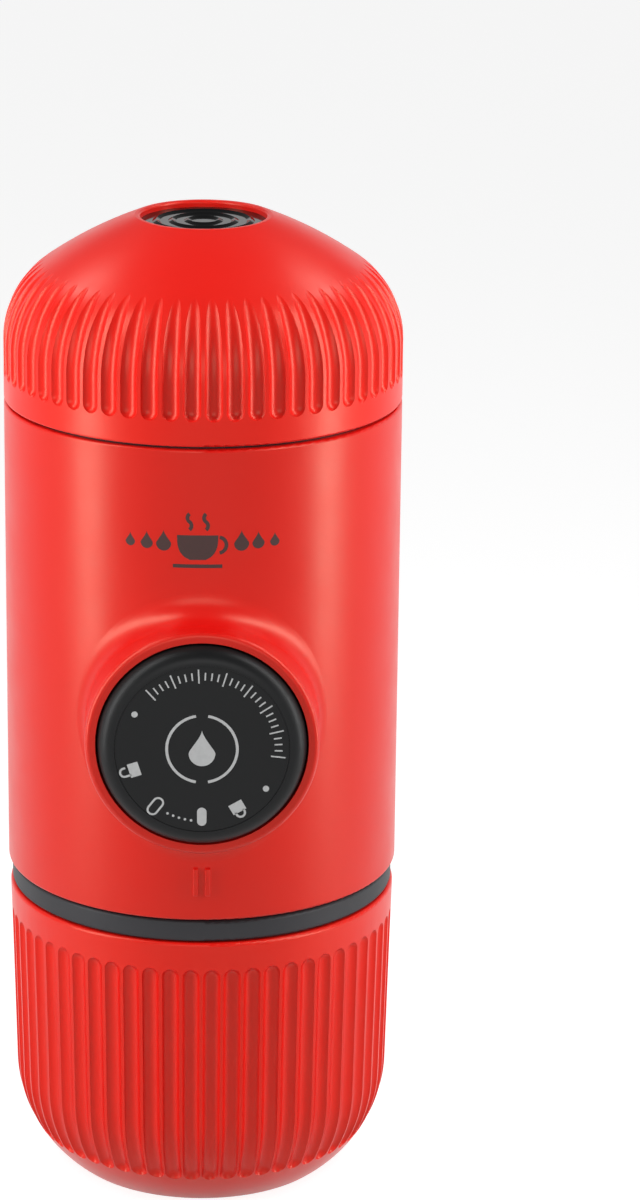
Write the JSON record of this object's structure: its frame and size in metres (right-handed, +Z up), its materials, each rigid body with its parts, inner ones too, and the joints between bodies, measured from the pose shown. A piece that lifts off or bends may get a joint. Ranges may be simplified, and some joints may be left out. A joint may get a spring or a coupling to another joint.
{
  "type": "handheld espresso maker",
  "caption": "Handheld manual espresso maker: fluted water tank, round body with a locking pump knob, outlet head with filter basket, and a fluted cup that it stands on.",
  "frame": {"origin": "centre of the cup's flat base", "axes": "+Z up along the maker's axis, -Y towards the pump knob"},
  "size_m": [0.062, 0.071, 0.1559],
  "materials": {
    "satin_red": "satin moulded",
    "fluted_red": "matt moulded",
    "black_satin": "satin moulded",
    "black_plastic": "plain moulded",
    "black_gloss": "polished",
    "dark_grey": "fine matt",
    "steel": "brushed",
    "silicone": "soft matt"
  },
  "bodies": {
    "main": {"body_shell": "satin_red", "neck_housing": "black_plastic", "intake_strainer": "steel", "air_valve": "silicone", "inlet_valve": "silicone", "outlet_valve": "silicone", "pump_cylinder": "black_plastic", "guide_sleeve": "black_plastic", "guide_screws": "steel", "rod_bushing": "black_plastic", "piston_spring": "steel", "spigot_housing": "black_plastic", "tie_screws": "steel", "brew_gasket": "silicone", "shower_screen": "steel", "shower_screw": "steel"},
    "piston": {"piston_rod": "steel", "piston_head": "black_plastic", "piston_seal": "silicone", "piston_screw": "steel", "thrust_washer": "black_plastic", "knob_screw": "steel"},
    "knob": {"knob_cap": "black_satin", "knob_face": "black_satin"},
    "tank_seal": {"tank_seal_ring": "silicone"},
    "tank": {"tank_shell": "fluted_red", "tank_base_insert": "black_gloss"},
    "head_seal": {"head_seal_ring": "silicone"},
    "outlet_head": {"outlet_head_shell": "dark_grey", "pressure_valve": "silicone", "valve_retainer": "black_plastic", "cup_grip_ring": "silicone"},
    "basket": {"filter_basket": "steel", "basket_screen": "steel"},
    "cup": {"cup": "fluted_red"}
  },
  "joints": [
    {"name": "piston_stroke", "type": "slide", "parent": "main", "child": "piston", "axis": [0, -1, 0], "range_m": [0, 0.012], "deforming": ["piston_spring"]},
    {"name": "knob_turn", "type": "hinge", "parent": "piston", "child": "knob", "pos_m": [0, 0, 0.0829], "axis": [0, -1, 0], "range_deg": [0, 40]},
    {"name": "tank_rise", "type": "slide", "parent": "main", "child": "tank_seal", "axis": [0, 0, 1], "range_m": [0, 0.009]},
    {"name": "tank_turn", "type": "hinge", "parent": "tank_seal", "child": "tank", "pos_m": [0, 0, 0.132], "axis": [0, 0, 1], "range_deg": [0, 540]},
    {"name": "head_drop", "type": "slide", "parent": "main", "child": "head_seal", "axis": [0, 0, -1], "range_m": [0, 0.009]},
    {"name": "head_turn", "type": "hinge", "parent": "head_seal", "child": "outlet_head", "pos_m": [0, 0, 0.047], "axis": [0, 0, -1], "range_deg": [0, 540]},
    {"name": "basket_lift", "type": "slide", "parent": "outlet_head", "child": "basket", "axis": [0, 0, 1], "range_m": [0, 0.0063]},
    {"name": "cup_slide", "type": "slide", "parent": "outlet_head", "child": "cup", "axis": [0, 0, -1], "range_m": [0, 0.038]}
  ],
  "couplings": [
    {"joint": "tank_turn", "follows": "tank_rise", "rad_per_m": 1047.2},
    {"joint": "head_turn", "follows": "head_drop", "rad_per_m": 1047.2},
    {"joint": "basket_lift", "follows": "head_drop", "ratio": 0.7}
  ]
}
